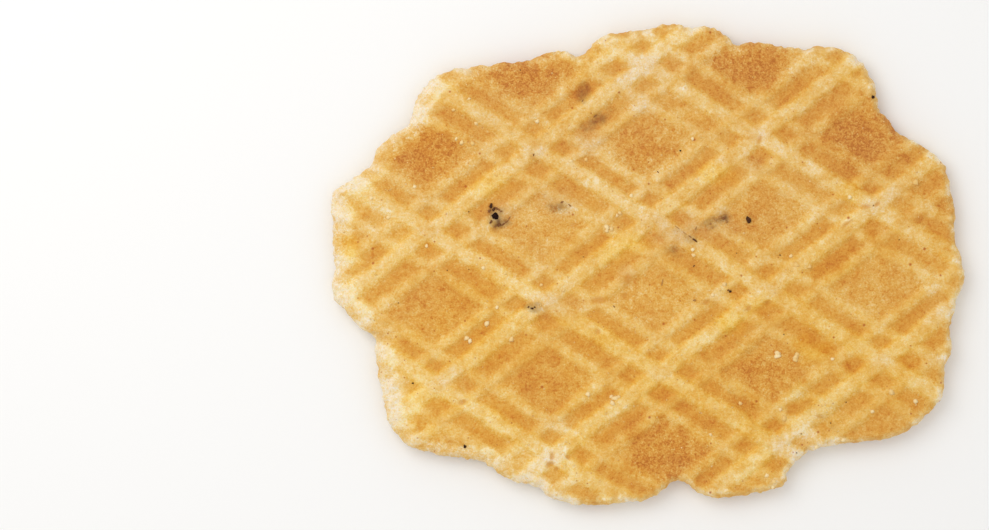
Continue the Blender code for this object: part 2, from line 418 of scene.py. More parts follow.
def underside(x, y):
    """Height of the lower face, never below the plane that the cracker rests on."""
    bumps = UNEVEN * noise_at(x, y, UNEVEN_PITCH, seed=11.0)
    return np.maximum(BROAD_RISE - pattern(x, y, FADE_WIDTH) + bumps + warp(x, y), 0)


print("feet in mm:", [[round(v / MM, 1) for v in foot] for foot in FEET])

# %% [markdown]
# ## The crust's mesh
#
# The photo shows details of a fifth of a millimetre, so the mesh needs points that close together,
# and its outer points have to lie on the rim. A square grid has even cells but a wrong outline. So
# the square is mapped to a disc ring by ring, and each ring is then stretched to the rim's reach.
# The faces of the grid stay four-sided and about equal in size.
#
# The underside uses the same grid with cells twice as large. Between the two, rows of points go round
# the rim's rounded edge.

# %% Grids of the two faces
CELLS = 128  # from the middle of the cracker to its rim
ROUNDING_MM = 0.9  # how far in from the rim the faces start to curve over
LEFT_ROUNDING_MM = 1.1  # in addition, at the left end, which is the bluntest


def disc_grid(cells):
    """Direction and share of the way out, for the points of a square grid mapped to a disc."""
    side = np.linspace(-1, 1, 2 * cells + 1)
    a, b = np.meshgrid(side, side, indexing="ij")
    wide = np.abs(a) >= np.abs(b)
    longer = np.where(wide, a, b)
    ratio = np.where(wide, b, a) / np.where(longer == 0, 1, longer)
    angle = np.where(wide, ratio * math.pi / 4, math.pi / 2 - ratio * math.pi / 4)
    return angle + np.where(longer < 0, math.pi, 0), np.abs(longer)


def rounding_at(angle):
    """Width of the rounded edge in each direction."""
    return (ROUNDING_MM + LEFT_ROUNDING_MM * leftness(np.cos(angle), np.sin(angle))) * MM


def face_points(cells, height):
    """Points of one face, with the height given by a function of x and y."""
    angle, share = disc_grid(cells)
    out = share * (reach_at(angle) - rounding_at(angle))
    x, y = (out * np.cos(angle)).ravel(), (out * np.sin(angle)).ravel()
    return np.stack([x, y, height(x, y)], axis=-1)


top_points = face_points(CELLS, top)
low_points = face_points(CELLS // 2, underside)
print(len(top_points), "points above and", len(low_points), "below")

# %% Rows of the rounded edge
RIM_ROWS = 14


def grid_numbers(cells):
    """Numbers of a grid's points, in its rows and columns."""
    side = 2 * cells + 1
    return np.arange(side**2).reshape(side, side)


def border(cells):
    """Numbers of a grid's outer points, anticlockwise."""
    n = grid_numbers(cells)
    return np.concatenate([n[:-1, 0], n[-1, :-1], n[:0:-1, -1], n[0, :0:-1]])


edge = top_points[border(CELLS)]
edge_angle = np.arctan2(edge[:, 1], edge[:, 0])
edge_low = underside(edge[:, 0], edge[:, 1])
middle, half = (edge[:, 2] + edge_low) / 2, (edge[:, 2] - edge_low) / 2
edge_rows = []
for row in range(1, RIM_ROWS):
    slope = math.pi / 2 - math.pi * row / RIM_ROWS
    out = reach_at(edge_angle) - rounding_at(edge_angle) * (1 - math.cos(slope))
    rise = middle + half * math.sin(slope)
    edge_rows.append(np.stack([out * np.cos(edge_angle), out * np.sin(edge_angle), rise], axis=-1))

points = np.concatenate([top_points, *edge_rows, low_points])
print(len(points), "points in all")

# %% [markdown]
# A face of a mesh is a list of the numbers of its corners, anticlockwise as seen from outside. The
# two grids and the rows between them follow a rule, so their faces are counted out. The last row has
# twice as many points as the border of the underside's grid, so three triangles fill each step there.

# %% Faces of the crust
def grid_faces(cells, start):
    """Faces of a grid, anticlockwise from above, where start is the number of its first point."""
    n = grid_numbers(cells) + start
    quads = np.stack([n[:-1, :-1], n[1:, :-1], n[1:, 1:], n[:-1, 1:]], axis=-1)
    return quads.reshape(-1, 4)


faces = grid_faces(CELLS, 0).tolist()
rows = [border(CELLS)]
for row in range(RIM_ROWS - 1):
    rows.append(len(top_points) + row * len(edge) + np.arange(len(edge)))
for above, below in zip(rows, rows[1:]):
    quads = np.stack([above, below, np.roll(below, -1), np.roll(above, -1)], axis=-1)
    faces += quads.tolist()

start_of_low = len(points) - len(low_points)
coarse = border(CELLS // 2) + start_of_low
even, odd = rows[-1][0::2], rows[-1][1::2]
after_even, after_coarse = np.roll(even, -1), np.roll(coarse, -1)
for a, b, c, d, e in np.stack([even, odd, after_even, coarse, after_coarse], axis=-1).tolist():
    faces += [(a, d, b), (b, d, e), (b, e, c)]
faces += grid_faces(CELLS // 2, start_of_low)[:, ::-1].tolist()

crust_mesh = bpy.data.meshes.new("baked_crust")
crust_mesh.from_pydata(points.tolist(), [], faces)
crust_mesh.update()
crust = add_object("baked_crust", crust_mesh)
print(sum(len(f) - 2 for f in faces), "triangles")

# %% [markdown]
# ## The rough skin
#
# Baked batter has a rough skin: small grains where it rose freely, on the rim and the ridges, and a
# smoother one where the iron pressed it flat. Bubbles that burst left a few hollows. The roughness
# moves each point along its normal, so the same rule works on the faces and round the rim.
#
# Three shares say where a point is: on the top face, in the upper half, and on the rim. The rim that
# looks dry and grainy has no straight border, so noise makes its width wander.

# %% Where each point is
TOP_FACE = (1.2 * MM, 2.0 * MM)  # heights between which the share of the top face rises to 1
UPPER_HALF = (0.7 * MM, 1.5 * MM)
RIM_WIDTH_MM = 1.1
LEFT_RIM_WIDTH_MM = 2.0  # in addition, at the left end
RIM_WANDER = ((1.8 * MM, 0.6, 41.0), (0.7 * MM, 0.4, 42.0))  # pitch, strength and seed
LEFT_WANDERS_LESS = 0.5
RIM_CORE = 0.6  # share of the rim's width that is rim through and through

x, y = points[:, 0], points[:, 1]
upper = smooth_step(*TOP_FACE, points[:, 2])
upper_half = smooth_step(*UPPER_HALF, points[:, 2])
left = leftness(x, y)
inside_rim = inset(x, y)
rim_wander = layered_noise(x, y, RIM_WANDER) * (1 - LEFT_WANDERS_LESS * left)
rim_width = (RIM_WIDTH_MM + LEFT_RIM_WIDTH_MM * left) * (1 + rim_wander) * MM
rim_share = 1 - smooth_step(RIM_CORE * rim_width, rim_width, inside_rim)
print(round(100 * float(rim_share.mean())), "% of the points are on the rim")

# %% Burst bubbles
# Middle, half length and half width of each burst bubble in millimetres, its direction in degrees
# and its depth in millimetres
HOLLOWS_MM = [
    (6.4, -4.1, 0.50, 0.34, 20, 0.16), (11.1, -4.8, 0.42, 0.32, 60, 0.14),
    (-20.6, -15.2, 0.52, 0.30, 25, 0.16), (-5.6, -7.4, 0.35, 0.30, 0, 0.12),
    (5.7, -23.7, 0.30, 0.42, 0, 0.14), (-10.7, -21.2, 0.26, 0.50, 0, 0.12),
    (-10.9, -22.1, 0.50, 0.34, 15, 0.18), (-10.2, -22.6, 0.28, 0.26, 0, 0.12),
    (-8.9, -21.3, 0.32, 0.22, -35, 0.12), (-8.3, 4.4, 0.42, 0.36, 0, 0.10),
    (13.2, -4.2, 0.40, 0.30, 0, 0.10), (12.3, 13.9, 0.22, 0.50, -25, 0.10),
    (-12.8, 12.0, 0.18, 0.42, 10, 0.10), (24.1, 6.5, 0.55, 0.22, 0, 0.12),
    (25.3, 6.7, 0.40, 0.22, 35, 0.12), (22.0, 4.6, 0.75, 0.20, 35, 0.08),
    (19.0, -16.8, 0.32, 0.26, 0, 0.10), (15.6, -16.3, 0.30, 0.24, 0, 0.10),
    (-2.6, -3.4, 0.42, 0.32, 40, 0.08), (-2.3, -1.5, 0.45, 0.60, 0, 0.10),
    (-5.5, -3.9, 0.90, 0.42, 0, 0.07),
]
HOLLOW_EDGE = (0.5, 1.3)  # from where it is deepest to where it ends, in half lengths

hollow_share = np.zeros(len(points))
hollow_depth = np.zeros(len(points))
for middle_x, middle_y, half_length, half_width, degrees, depth in HOLLOWS_MM:
    turn = math.radians(degrees)
    away_x, away_y = x / MM - middle_x, y / MM - middle_y
    along = (away_x * math.cos(turn) + away_y * math.sin(turn)) / half_length
    aside = (away_y * math.cos(turn) - away_x * math.sin(turn)) / half_width
    share = (1 - smooth_step(*HOLLOW_EDGE, np.hypot(along, aside))) * upper
    hollow_share = np.maximum(hollow_share, share)
    hollow_depth = np.maximum(hollow_depth, share * depth * MM)
print(len(HOLLOWS_MM), "bubbles, up to", round(float(hollow_depth.max()) / MM, 2), "mm deep")

# %% Roughen the skin
GRAIN_PITCH = 0.62 * MM
FINE_PITCH = 0.30 * MM
FINE_SHARE = 0.5
FINE_SHIFT = Vector((9, 9, 9))  # so that the fine grain doesn't repeat the coarser one
GRAIN_ON_RIM = 0.15 * MM
GRAIN_ON_FACE = 0.030 * MM

normals = np.zeros(len(points) * 3)
crust_mesh.vertex_normals.foreach_get("vector", normals)
normals = normals.reshape(-1, 3)
grain = np.array([noise.noise(Vector(p)) for p in points / GRAIN_PITCH])
fine = np.array([noise.noise(Vector(p) + FINE_SHIFT) for p in points / FINE_PITCH])
roughness = GRAIN_ON_FACE * (1 + relief(x, y) / BROAD_RISE) + (GRAIN_ON_RIM - GRAIN_ON_FACE) * rim_share
points = points + normals * (roughness * (grain + FINE_SHARE * fine) - hollow_depth)[:, None]
points[:, 2] = np.maximum(points[:, 2], 0)
crust_mesh.vertices.foreach_set("co", points.ravel())
crust_mesh.shade_smooth()
crust_mesh.update()
print("roughness from", round(GRAIN_ON_FACE / MM, 3), "to", round(GRAIN_ON_RIM / MM, 3), "mm")

# %% [markdown]
# ## Where the crust is brown and where it is pale
#
# Crust browns where it touched hot iron longest, and stays pale where it rose off it or is thick. One
# number says how far it is baked at each point, from 0 for cream to 1 for red-brown. The flat
# diamonds are about a half. Ridges, crossings and the rim are lower. A few diamonds near the rim lay
# on hot spots and are higher. Every such cause is added up and kept as an attribute of the mesh.
#
# A second number says how golden or beige the crust is at the same baking. The flanks of the ridges
# took up oil and are golden. Crossings and the rim stayed dry and are beige.
#
# In a real cracker both numbers wander at random, so noise makes most of their unevenness. Patches
# that can be told apart from a step away are placed one by one, among them the grey-brown ones over
# a husk. Noise makes their edges uneven.

# %% Patches with uneven edges
PATCH_EDGE_PITCH = 1.8 * MM
PATCH_WANDER = 0.55
PATCH_EDGE = (0.25, 1.3)  # from where a patch is strongest to where it ends, in half widths


def patches(x, y, places, seed):
    """Sum of the patches' strengths at each point. Noise makes the edges of the patches uneven."""
    wander = PATCH_WANDER * noise_at(x, y, PATCH_EDGE_PITCH, seed)
    found = [np.zeros_like(x) for strength in places[0][4:]]
    for middle_x, middle_y, half_width, half_height, *strengths in places:
        away = np.hypot((x / MM - middle_x) / half_width, (y / MM - middle_y) / half_height)
        share = 1 - smooth_step(*PATCH_EDGE, away + wander)
        for k, strength in enumerate(strengths):
            found[k] += strength * share
    return found


# Middle, half width and half height in millimetres of each patch that browned, and by how much
BROWNED_MM = [
    (-24.2, 12.2, 5.0, 4.0, 0.24), (-14.2, 21.1, 6.0, 3.6, 0.26), (10.8, 22.2, 6.0, 3.4, 0.22),
    (23.6, 14.1, 5.6, 4.4, 0.28), (1.9, -21.1, 5.8, 4.2, 0.22), (-0.3, 12.8, 4.8, 3.8, 0.12),
    (-24.2, -4.4, 4.6, 3.8, 0.06), (13.0, -11.5, 4.8, 3.6, 0.17), (32.3, 7.2, 2.6, 3.4, 0.07),
    (12.4, 5.0, 4.4, 3.4, 0.05),
]
MOST_BROWNED = 0.30
browned = np.minimum(patches(x, y, BROWNED_MM, seed=50.0)[0], MOST_BROWNED)
print(len(BROWNED_MM), "browned patches, up to", round(float(browned.max()), 2))

# %% Husks under the skin
# Dark patches, where a pepper husk lies just under the skin: middle, half width, half height, strength
GREY_MM = [
    (-16.9, 5.5, 1.1, 1.7, 0.5), (-16.2, 4.6, 1.1, 0.5, 0.45), (-17.4, 6.1, 0.5, 0.8, 0.5),
    (-16.4, 6.2, 0.8, 0.6, 0.4), (8.2, 5.1, 1.5, 0.9, 0.6), (8.3, 5.2, 0.7, 0.5, 0.5),
    (6.8, 4.6, 1.0, 0.8, 0.35), (4.7, 2.9, 1.0, 0.7, 0.5), (3.2, 3.8, 1.6, 0.7, 0.2),
    (-7.2, 19.0, 1.0, 1.5, 0.6), (-5.5, 16.4, 1.3, 1.0, 0.7), (-6.8, 15.3, 1.2, 0.9, 0.4),
    (-4.5, 17.2, 1.1, 0.8, 0.35), (-9.8, 6.4, 1.6, 0.8, 0.55), (2.8, 1.6, 1.4, 0.8, 0.35),
    (-12.9, -4.7, 1.0, 0.7, 0.75),
]
grey = np.minimum(patches(x, y, GREY_MM, seed=52.0)[0], 1) * upper
print(len(GREY_MM), "patches over husks")

# %% Smaller patches
# Middle, half width and half height in millimetres, how much browner the crust is there, and how much
# more golden. Where it is negative, the crust is paler, or more beige.
TONES_MM = [
    (-33.4, 1.8, 1.4, 2.2, 0.18, 1.8), (-32.2, 6.2, 1.6, 1.6, -0.13, 0.3),
    (-29.6, 12.2, 2.4, 2.2, 0.22, 0.8), (-34.4, 7.0, 1.0, 1.4, -0.10, -1.0),
    (-29.8, -8.2, 2.0, 2.4, 0.14, -0.2), (-28.4, 4.6, 4.2, 2.8, -0.12, -0.3),
    (-25.0, 17.0, 2.0, 3.0, -0.16, -0.7), (-25.4, -14.2, 3.0, 1.8, -0.10, 0.2),
    (-28.4, -14.2, 1.8, 2.6, -0.18, -1.0), (-26.6, -16.2, 1.9, 2.2, -0.20, 0.0),
    (-24.0, 12.5, 3.4, 3.0, 0.0, 0.9), (-23.8, -18.5, 1.8, 1.2, -0.16, 0.3),
    (-21.4, -12.9, 2.0, 1.8, -0.09, -1.0), (-19.5, -6.2, 6.0, 4.0, 0.0, 0.6),
    (-17.5, 9.0, 2.6, 1.6, 0.0, 1.1), (-16.5, 5.6, 1.8, 1.8, 0.0, -1.8),
    (-13.0, 11.8, 2.2, 1.4, -0.10, -0.8), (-12.3, -4.9, 2.0, 1.2, 0.15, 0.0),
    (-11.4, -22.2, 3.2, 2.6, -0.16, -0.6), (-10.8, -12.0, 1.8, 1.8, -0.06, -0.5),
    (-9.7, 6.7, 2.8, 2.0, 0.0, -1.4), (-14.9, -21.1, 2.8, 1.6, -0.12, 0.0),
    (-9.6, -17.9, 2.4, 1.8, -0.11, -1.0), (-14.0, -12.8, 2.2, 1.8, 0.11, 0.2),
    (-10.0, 4.6, 4.4, 3.2, -0.09, 0.0), (-6.6, 14.1, 2.4, 1.8, 0.03, -1.5),
    (-3.8, -8.6, 3.4, 1.8, 0.08, 0.6), (-4.7, 23.2, 2.4, 1.2, -0.11, 0.0),
    (-7.2, 19.0, 1.2, 1.6, 0.18, 0.4), (-5.6, 16.3, 1.8, 1.2, 0.12, 0.0),
    (-3.6, -12.4, 1.9, 2.3, 0.20, 0.6), (-3.0, 2.0, 3.4, 2.0, 0.0, 1.2),
    (-2.4, -1.0, 1.2, 1.6, 0.0, -1.4), (-9.8, -4.6, 3.4, 1.4, 0.0, -1.2),
    (-1.6, -17.8, 2.2, 1.4, 0.17, 0.5), (-1.9, -14.0, 1.9, 1.5, 0.13, 0.4),
    (-0.1, -23.4, 2.6, 1.7, -0.14, 0.0), (0.0, 21.6, 4.0, 2.6, -0.08, -1.2),
    (-0.2, 17.6, 3.0, 1.2, -0.20, -1.0), (2.8, 18.9, 2.6, 1.0, -0.26, -1.2),
    (2.4, -3.0, 3.0, 2.2, -0.09, 0.1), (12.4, -4.4, 1.8, 1.8, 0.0, 0.9),
    (2.9, -15.0, 2.6, 1.8, 0.14, 0.3), (3.4, 3.6, 3.2, 2.0, -0.05, -2.4),
    (4.8, 17.0, 2.6, 1.1, -0.19, -0.3), (6.4, -8.3, 2.3, 1.0, -0.16, -0.3),
    (7.6, 10.0, 2.6, 1.4, 0.0, 1.4), (8.4, 4.0, 2.4, 1.8, 0.02, -1.4),
    (8.0, -16.6, 2.0, 1.8, 0.14, 0.0), (9.3, -6.6, 2.0, 1.4, 0.0, 1.4),
    (12.0, -20.5, 2.3, 1.4, -0.15, -0.6), (10.8, -23.6, 1.5, 1.2, -0.22, -0.2),
    (11.8, 11.3, 1.4, 1.2, 0.11, -0.8), (12.0, 0.8, 1.8, 1.0, -0.15, -0.4),
    (-2.0, 26.0, 1.9, 1.0, 0.13, 0.4), (13.4, -6.2, 2.1, 1.1, 0.15, 0.6),
    (15.6, -19.9, 2.4, 1.7, -0.07, -1.0), (17.2, 18.6, 2.4, 1.6, 0.12, 0.6),
    (17.2, -14.6, 2.2, 0.9, -0.22, -0.3), (17.8, -18.5, 2.6, 1.9, -0.14, -0.8),
    (17.8, 24.0, 1.6, 0.8, 0.14, 0.0), (20.2, -0.4, 4.0, 2.6, 0.14, 0.9),
    (18.5, -9.4, 3.0, 1.7, 0.06, 1.4), (20.3, 9.9, 2.4, 0.9, 0.14, 0.3),
    (22.4, 5.6, 1.5, 1.7, -0.18, 0.0), (22.2, 8.3, 2.0, 1.5, 0.04, 0.9),
    (23.6, -11.9, 2.6, 1.8, 0.18, 0.6), (27.3, -8.0, 1.9, 1.7, 0.13, 0.4),
    (23.5, -8.1, 1.9, 1.6, 0.15, 0.5), (24.2, 19.6, 1.6, 2.6, -0.10, -0.4),
    (25.8, 2.0, 2.8, 2.0, 0.20, 1.3), (27.2, 8.0, 1.9, 1.6, -0.04, -0.9),
    (20.6, -16.4, 2.8, 1.3, -0.14, -0.6), (28.6, 5.3, 2.0, 1.0, 0.16, 0.0),
    (29.0, -11.6, 1.3, 1.2, 0.20, 0.9), (30.5, -1.4, 3.4, 1.8, -0.18, -0.4),
    (32.0, -4.6, 1.6, 2.4, -0.13, -1.0),
]
browner, golder = patches(x, y, TONES_MM, seed=51.0)
print(len(TONES_MM), "smaller patches")

# %% [markdown]
# Now all that makes the crust pale or brown is added up. Noise of two coarse sizes gives soft clouds,
# and two finer ones give mottles. Both are weaker in the smooth grooves. The mottles are stronger on
# the rim, apart from the left end. The rim's grains also get painted light: paler on their tops and
# darker in the gaps between them.

# %% How far the crust is baked
FLAT_BAKED = 0.52
GROOVE_BROWNER = 0.09
BROAD_PALER = 0.25
NARROW_PALER = 0.18
RIM_PALER = 0.15
LEFT_RIM_PALER = 0.20  # in addition, at the left end
# Painted light: the tops of the rim's grains are paler and the gaps between them darker
GRAIN_TOP_PAINTED_LIGHT = 0.10  # on top of each grain of the rim
BROWNED_RIM = 2.5  # how fast a browned patch takes the paleness off the rim
PALEST = 0.07
# Uneven browning: pitch, strength and seed of the noise
BROAD_CLOUDS = ((7.0 * MM, 0.14, 30.0), (2.4 * MM, 0.12, 31.0))
SMALL_CLOUDS = ((1.1 * MM, 0.12, 32.0), (0.55 * MM, 0.10, 33.0))
LEFT_END = (5 * MM, 9 * MM)  # how far in from the rim the left end's own look fades out
# How much of the clouds is lost in the grooves, on the rim and at the left end
GROOVE_CALM = 0.4
RIM_CALM = 0.5
LEFT_CALM = 0.45

(broad_a, narrow_a), (broad_b, narrow_b) = ridge_shares(x, y)
broad, narrow = np.maximum(broad_a, broad_b), np.maximum(narrow_a, narrow_b)
groove = groove_share(x, y) * (1 - broad) * (1 - narrow)
paler = np.maximum(BROAD_PALER * broad, NARROW_PALER * narrow) - GROOVE_BROWNER * groove
# The rim is paler, and its grains carry painted light: paler on top, darker between
rim_paler = (RIM_PALER + LEFT_RIM_PALER * left + GRAIN_TOP_PAINTED_LIGHT * grain) * rim_share
left_end = left * (1 - smooth_step(*LEFT_END, inside_rim))
clouds = layered_noise(x, y, BROAD_CLOUDS) * (1 - GROOVE_CALM * groove - RIM_CALM * rim_share)
mottled = 1 - GROOVE_CALM * groove + rim_share * (1 - left) - LEFT_CALM * left_end
clouds = clouds + layered_noise(x, y, SMALL_CLOUDS) * mottled
baked = FLAT_BAKED + browned + browner * upper
baked = baked - paler * fading(x, y) - rim_paler * (1 - BROWNED_RIM * browned)
baked = np.maximum(baked + clouds, PALEST)
print("mean baking:", round(float(baked.mean()), 2))

# %% How golden the crust is
PLAIN_GOLD = 0.45
GOLD_CLOUDS = ((5.0 * MM, 0.45, 34.0), (1.4 * MM, 0.35, 35.0))  # pitch, strength and seed
OILY_SIDE = 0.5  # how much more golden the crust is towards -Y, and more beige towards +Y
OILY_HALF = 12 * MM  # how far from the middle that has its full strength
NEAR_RIM = (1.5 * MM, 4.0 * MM)
NEAR_RIM_CALM = 0.7  # how much of it is lost near the rim
BEIGE_RIM = 1.2
BEIGE_WIDTH_MM = 1.4  # and twice that at the left end
BEIGE_CORE = 0.1  # share of that width which is beige through and through
BEIGE_LEFT = 0.4  # how much more beige the rim is at the left end
BEIGE_BELOW = 0.4  # how beige it is on its lower half, as a share
MOST_BEIGE = -0.9  # for the palest crust, as cream has little colour to lose
BEIGE_WITH_BAKING = 4.0  # how much further it can go as the crust is more baked

near_rim = 1 - smooth_step(*NEAR_RIM, inside_rim)
towards_oil = -np.clip(y / OILY_HALF, -1, 1) * (1 - NEAR_RIM_CALM * near_rim)
beige_width = BEIGE_WIDTH_MM * (1 + left) * MM
beige_share = 1 - smooth_step(BEIGE_CORE * beige_width, beige_width, inside_rim)
beige_share = beige_share * (1 + BEIGE_LEFT * left) * (BEIGE_BELOW + (1 - BEIGE_BELOW) * upper_half)
# Each cause's strength, positive for golden and negative for beige, and its share at each point
causes = [
    (1.0, golder * upper),
    (0.7, 4 * broad * (1 - broad)),  # the flanks of the broad ridges, where this product is near 1
    (0.6, groove),
    (-0.8, broad_a * broad_b),  # crossings of broad ridges
    (-0.3, narrow_a * narrow_b),  # crossings of narrow ones
    (3.0, clouds),
    (1.5, browned),
    (0.8, hollow_share),
    (OILY_SIDE, towards_oil),
    (-BEIGE_RIM, beige_share),
]
gold = PLAIN_GOLD + layered_noise(x, y, GOLD_CLOUDS)
gold = gold + sum(strength * share for strength, share in causes)
gold = np.maximum(gold, MOST_BEIGE - BEIGE_WITH_BAKING * (baked - PALEST))
print("mean gold:", round(float(gold.mean()), 2))

# %% Keep the fields on the mesh
# How coarse the fine grain of the colour is: 1.2 on the flat, smoother on what the iron pressed
# and on ridges, and coarser where the crust browned
PLAIN_COARSENESS = 1.2
coarser = [(-0.2, groove), (-0.4, np.maximum(broad, narrow)), (2.4, browned), (-0.1, rim_share)]
fields = {
    "baked": baked,
    "gold": gold,
    "coarseness": PLAIN_COARSENESS + sum(strength * share for strength, share in coarser),
    "grey": grey,
    "hollow": hollow_share,
}
for name, values in fields.items():
    attribute = crust_mesh.attributes.new(name, "FLOAT", "POINT")
    attribute.data.foreach_set("value", values.astype(np.float32))
    print(name, "from", round(float(values.min()), 2), "to", round(float(values.max()), 2))

# %% [markdown]
# ## The crust's material
#
# The crust is baked wheat batter: dry, matt, a little oily, and slightly translucent, so light spreads
# a fraction of a millimetre in it. A ramp turns the number for baking into colour. Its steps are the
# colours that wheat batter goes through in an iron: cream, straw, gold, amber, light brown and
# red-brown. Before the ramp, noise of four fine sizes is added, because batter is grainy. It
# is strongest where the crust is brown. Crumbs of crust that flaked off leave small patches with crisp
# edges, browner than what is round them.

# %% Grain of the crust
GRAINS = ((0.90, 0.11), (0.42, 0.24), (0.21, 0.34), (0.12, 0.38))  # pitch in millimetres and weight
FLAKE_PITCH = 0.55
FLAKED = (0.53, 0.66)  # noise between which the crust goes from whole to flaked
FLAKED_BROWNER = 0.12

material, tree = new_material("baked_wheat_crust")
place = add_node(tree, "TexCoord").outputs["Object"]
field = {}
for name in fields:
    field[name] = add_node(tree, "Attribute", attribute_name=name).outputs["Fac"]
mottle = 0.0
for pitch, weight in GRAINS:
    # Noise repeats about once a unit at scale 1, so a pitch in millimetres is a scale of 1000 over it
    texture = add_node(tree, "TexNoise", {"Vector": place, "Scale": 1000 / pitch, "Detail": 1.0})
    centred = add_node(tree, "Math", {0: texture, 1: 0.5}, operation="SUBTRACT")
    mottle = add_node(tree, "Math", {0: centred, 1: weight, 2: mottle}, operation="MULTIPLY_ADD")
texture = add_node(
    tree, "TexNoise", {"Vector": place, "Scale": 1000 / FLAKE_PITCH, "Detail": 2.0, "Distortion": 0.8}
)
flaked = add_node(
    tree,
    "MapRange",
    {"Value": texture, "From Min": FLAKED[0], "From Max": FLAKED[1], "To Max": FLAKED_BROWNER},
)
summed = add_node(tree, "Math", {0: mottle, 1: flaked}, operation="ADD")
browning = add_node(tree, "Math", {0: summed, 1: field["coarseness"]}, operation="MULTIPLY")
baked_here = add_node(tree, "Math", {0: browning, 1: field["baked"]}, operation="ADD")
print("grains of", [pitch for pitch, weight in GRAINS], "mm")

# %% [markdown]
# After the ramp, a tint makes the colour more golden or more beige. For each unit of the gold field,
# red rises a little and blue falls by a fifth. The tint is grainy too, and it follows the browning,
# because browner specks are also more golden.

# %% Colour of the crust
BAKING_COLOURS = [
    (0.00, "F6E6BE"),
    (0.12, "F2D8A0"),
    (0.25, "ECC882"),
    (0.38, "E5B867"),
    (0.50, "DEAA55"),
    (0.62, "D79C48"),
    (0.75, "CE8C3C"),
    (0.88, "C47C36"),
    (1.00, "B46E32"),
]
GOLD_TINT = (0.025, 0.0, -0.19)
GOLD_PITCH = 0.35
GOLD_GRAIN = 0.8
GOLD_WITH_BROWN = 4.8

ramp = add_node(tree, "ValToRGB", {"Fac": baked_here})
while len(ramp.color_ramp.elements) < len(BAKING_COLOURS):
    ramp.color_ramp.elements.new(0.5)
for element, (position, hex_colour) in zip(ramp.color_ramp.elements, BAKING_COLOURS):
    element.position = position
    element.color = linear(hex_colour)
texture = add_node(tree, "TexNoise", {"Vector": place, "Scale": 1000 / GOLD_PITCH, "Detail": 2.0})
centred = add_node(tree, "Math", {0: texture, 1: 0.5}, operation="SUBTRACT")
gold_grain = add_node(tree, "Math", {0: centred, 1: GOLD_GRAIN, 2: field["gold"]}, operation="MULTIPLY_ADD")
gold_here = add_node(
    tree, "Math", {0: browning, 1: GOLD_WITH_BROWN, 2: gold_grain}, operation="MULTIPLY_ADD"
)
tint = add_node(
    tree, "VectorMath", {0: gold_here, 1: GOLD_TINT, 2: (1.0, 1.0, 1.0)}, operation="MULTIPLY_ADD"
)
tinted = add_node(tree, "VectorMath", {0: ramp, 1: tint}, operation="MULTIPLY")
print(len(BAKING_COLOURS), "colours of baking")

# %% [markdown]
# Small bubbles leave pinholes, too small for the mesh, so their dark is painted shade. They are points
# of a Voronoi pattern, of which only some are chosen. Husks darken the skin above them, with uneven
# edges, and burst bubbles are brown inside. These four colours are laid over the crust's own one
# after another.

# %% Pinholes, husks and bubbles
# Pitch in millimetres of the points, largest size as a share of it, share chosen, and strength of the
# painted shade
PINHOLE_SHADES = [(1.7, 0.14, 0.10, 0.85), (0.8, 0.18, 0.07, 0.6)]
SIZES_VARY = 1.5  # the smallest pinhole is the largest one's size over 1 + 1.5
# The first colour is the painted shade inside the pinholes
PINHOLE_SHADE_COLOUR, HUSK_COLOUR, BUBBLE_COLOUR = "B45A18", "5A3424", "D08C38"
HUSK_PITCH = 0.8
HUSK_UNEVEN = (2.4, -0.3)  # the noise is spread by the first number and shifted by the second
HUSK_SHOWS = (0.1, 1.1)  # strength of a patch between which it goes from unseen to darkest
HUSK_DARKEST = 0.8
BUBBLE_STRENGTH = 0.7

layers = []
for pitch, size, chosen_share, strength in PINHOLE_SHADES:
    cells = add_node(tree, "TexVoronoi", {"Vector": place, "Scale": 1000 / pitch}, voronoi_dimensions="2D")
    chance = add_node(tree, "SeparateColor", {"Color": cells.outputs["Color"]})
    red, green = chance.outputs["Red"], chance.outputs["Green"]
    smaller = add_node(tree, "Math", {0: green, 1: SIZES_VARY, 2: 1.0}, operation="MULTIPLY_ADD")
    away = add_node(tree, "Math", {0: cells.outputs["Distance"], 1: smaller}, operation="MULTIPLY")
    hole = add_node(
        tree,
        "MapRange",
        {"Value": away, "From Min": size / 3, "From Max": size, "To Min": strength, "To Max": 0.0},
    )
    chosen = add_node(tree, "Math", {0: red, 1: chosen_share}, operation="LESS_THAN")
    shown = add_node(tree, "Math", {0: hole, 1: chosen}, operation="MULTIPLY")
    # painted shade in the pinholes
    layers.append((shown, PINHOLE_SHADE_COLOUR))

texture = add_node(tree, "TexNoise", {"Vector": place, "Scale": 1000 / HUSK_PITCH, "Detail": 2.0})
uneven = add_node(tree, "Math", {0: texture, 1: HUSK_UNEVEN[0], 2: HUSK_UNEVEN[1]}, operation="MULTIPLY_ADD")
broken = add_node(tree, "Math", {0: field["grey"], 1: uneven}, operation="MULTIPLY")
darker = add_node(
    tree,
    "MapRange",
    {"Value": broken, "From Min": HUSK_SHOWS[0], "From Max": HUSK_SHOWS[1], "To Max": HUSK_DARKEST},
)
layers.append((darker, HUSK_COLOUR))
inside = add_node(tree, "Math", {0: field["hollow"], 1: BUBBLE_STRENGTH}, operation="MULTIPLY")
layers.append((inside, BUBBLE_COLOUR))

colour = tinted.outputs["Vector"]
for factor, hex_colour in layers:
    inputs = {"Factor": factor, "A": colour, "B": linear(hex_colour)}
    colour = add_node(tree, "Mix", inputs, data_type="RGBA").outputs["Result"]
print(len(layers), "layers over the crust's own colour")

# %% [markdown]
# The surface is rough with a weak gloss, as the oil on it is thin. A bump of the same noise lets the
# grains catch the light. Some light goes a fraction of a millimetre into the dough and comes out
# warmer.

